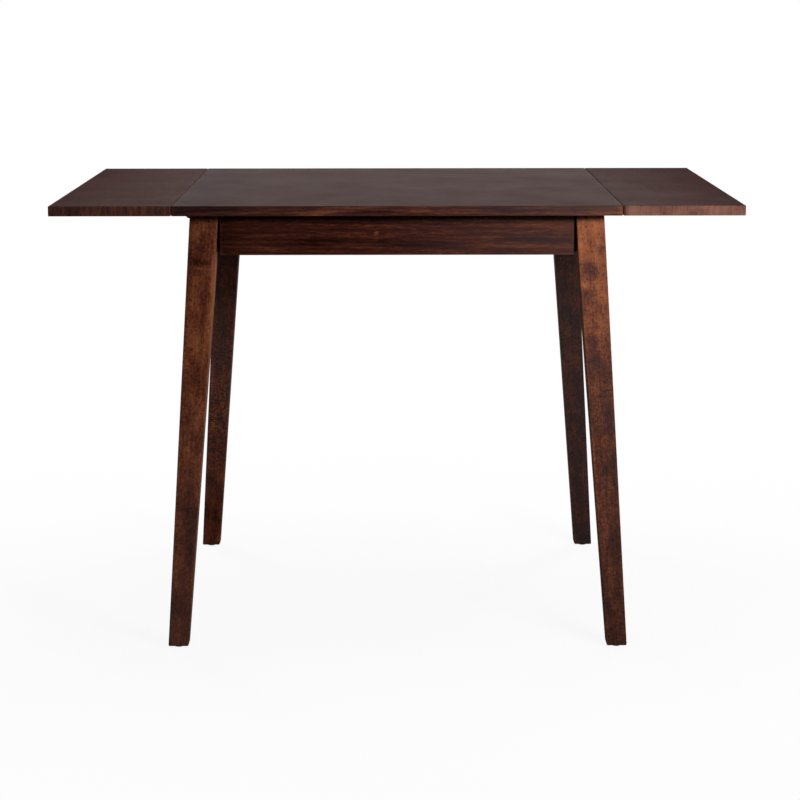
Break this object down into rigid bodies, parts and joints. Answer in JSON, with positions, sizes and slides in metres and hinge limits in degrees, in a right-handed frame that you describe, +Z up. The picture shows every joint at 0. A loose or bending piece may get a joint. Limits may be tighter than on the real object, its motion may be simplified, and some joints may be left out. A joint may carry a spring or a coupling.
{
  "type": "drop-leaf dining table",
  "caption": "Small dining table in dark stained wood: a fixed centre top on splayed tapered legs, with a hinged drop leaf at each end held up by pull-out wooden supports.",
  "frame": {"origin": "on the floor, under the middle of the top", "axes": "+X along the table from the left leaf to the right leaf, +Y from the front to the rear, +Z up"},
  "size_m": [1.137, 0.762, 0.75],
  "materials": {
    "top_wood": "dark walnut stain under satin lacquer",
    "leg_wood": "walnut stain under satin lacquer",
    "apron_wood": "dark walnut stain under satin lacquer",
    "inner_wood": "walnut stain, unlacquered",
    "dowel_wood": "bare beech",
    "hinge_steel": "dull zinc plate",
    "fixing_steel": "dull zinc plate",
    "glide_plastic": "moulded"
  },
  "bodies": {
    "table_frame": {"centre_top": "top_wood", "front_left_leg": "leg_wood", "front_right_leg": "leg_wood", "rear_left_leg": "leg_wood", "rear_right_leg": "leg_wood", "front_apron": "apron_wood", "rear_apron": "apron_wood", "left_apron": "apron_wood", "right_apron": "apron_wood", "left_guide_rail": "inner_wood", "right_guide_rail": "inner_wood", "front_left_corner_block": "inner_wood", "front_right_corner_block": "inner_wood", "rear_left_corner_block": "inner_wood", "rear_right_corner_block": "inner_wood", "front_left_hanger_bolt": "fixing_steel", "front_right_hanger_bolt": "fixing_steel", "rear_left_hanger_bolt": "fixing_steel", "rear_right_hanger_bolt": "fixing_steel", "front_left_bolt_washer": "fixing_steel", "front_right_bolt_washer": "fixing_steel", "rear_left_bolt_washer": "fixing_steel", "rear_right_bolt_washer": "fixing_steel", "front_left_bolt_nut": "fixing_steel", "front_right_bolt_nut": "fixing_steel", "rear_left_bolt_nut": "fixing_steel", "rear_right_bolt_nut": "fixing_steel", "front_left_foot_glide": "glide_plastic", "front_right_foot_glide": "glide_plastic", "rear_left_foot_glide": "glide_plastic", "rear_right_foot_glide": "glide_plastic", "left_front_hinge_fixed_flap": "hinge_steel", "left_middle_hinge_fixed_flap": "hinge_steel", "left_rear_hinge_fixed_flap": "hinge_steel", "right_front_hinge_fixed_flap": "hinge_steel", "right_middle_hinge_fixed_flap": "hinge_steel", "right_rear_hinge_fixed_flap": "hinge_steel", "left_front_hinge_pin": "hinge_steel", "left_middle_hinge_pin": "hinge_steel", "left_rear_hinge_pin": "hinge_steel", "right_front_hinge_pin": "hinge_steel", "right_middle_hinge_pin": "hinge_steel", "right_rear_hinge_pin": "hinge_steel"},
    "left_leaf_body": {"left_leaf": "top_wood", "left_front_hinge_moving_flap": "hinge_steel", "left_middle_hinge_moving_flap": "hinge_steel", "left_rear_hinge_moving_flap": "hinge_steel"},
    "right_leaf_body": {"right_leaf": "top_wood", "right_front_hinge_moving_flap": "hinge_steel", "right_middle_hinge_moving_flap": "hinge_steel", "right_rear_hinge_moving_flap": "hinge_steel"},
    "left_front_support": {"left_front_loper": "inner_wood", "left_front_loper_stop": "dowel_wood"},
    "left_rear_support": {"left_rear_loper": "inner_wood", "left_rear_loper_stop": "dowel_wood"},
    "right_front_support": {"right_front_loper": "inner_wood", "right_front_loper_stop": "dowel_wood"},
    "right_rear_support": {"right_rear_loper": "inner_wood", "right_rear_loper_stop": "dowel_wood"}
  },
  "joints": [
    {"name": "left_leaf_hinge", "type": "hinge", "parent": "table_frame", "child": "left_leaf_body", "pos_m": [-0.3685, 0, 0.7304], "axis": [0, -1, 0], "range_deg": [0, 90]},
    {"name": "right_leaf_hinge", "type": "hinge", "parent": "table_frame", "child": "right_leaf_body", "pos_m": [0.3685, 0, 0.7304], "axis": [0, 1, 0], "range_deg": [0, 90]},
    {"name": "left_front_loper_slide", "type": "slide", "parent": "table_frame", "child": "left_front_support", "axis": [1, 0, 0], "range_m": [-0.1, 0]},
    {"name": "left_rear_loper_slide", "type": "slide", "parent": "table_frame", "child": "left_rear_support", "axis": [1, 0, 0], "range_m": [-0.1, 0]},
    {"name": "right_front_loper_slide", "type": "slide", "parent": "table_frame", "child": "right_front_support", "axis": [-1, 0, 0], "range_m": [-0.1, 0]},
    {"name": "right_rear_loper_slide", "type": "slide", "parent": "table_frame", "child": "right_rear_support", "axis": [-1, 0, 0], "range_m": [-0.1, 0]}
  ]
}
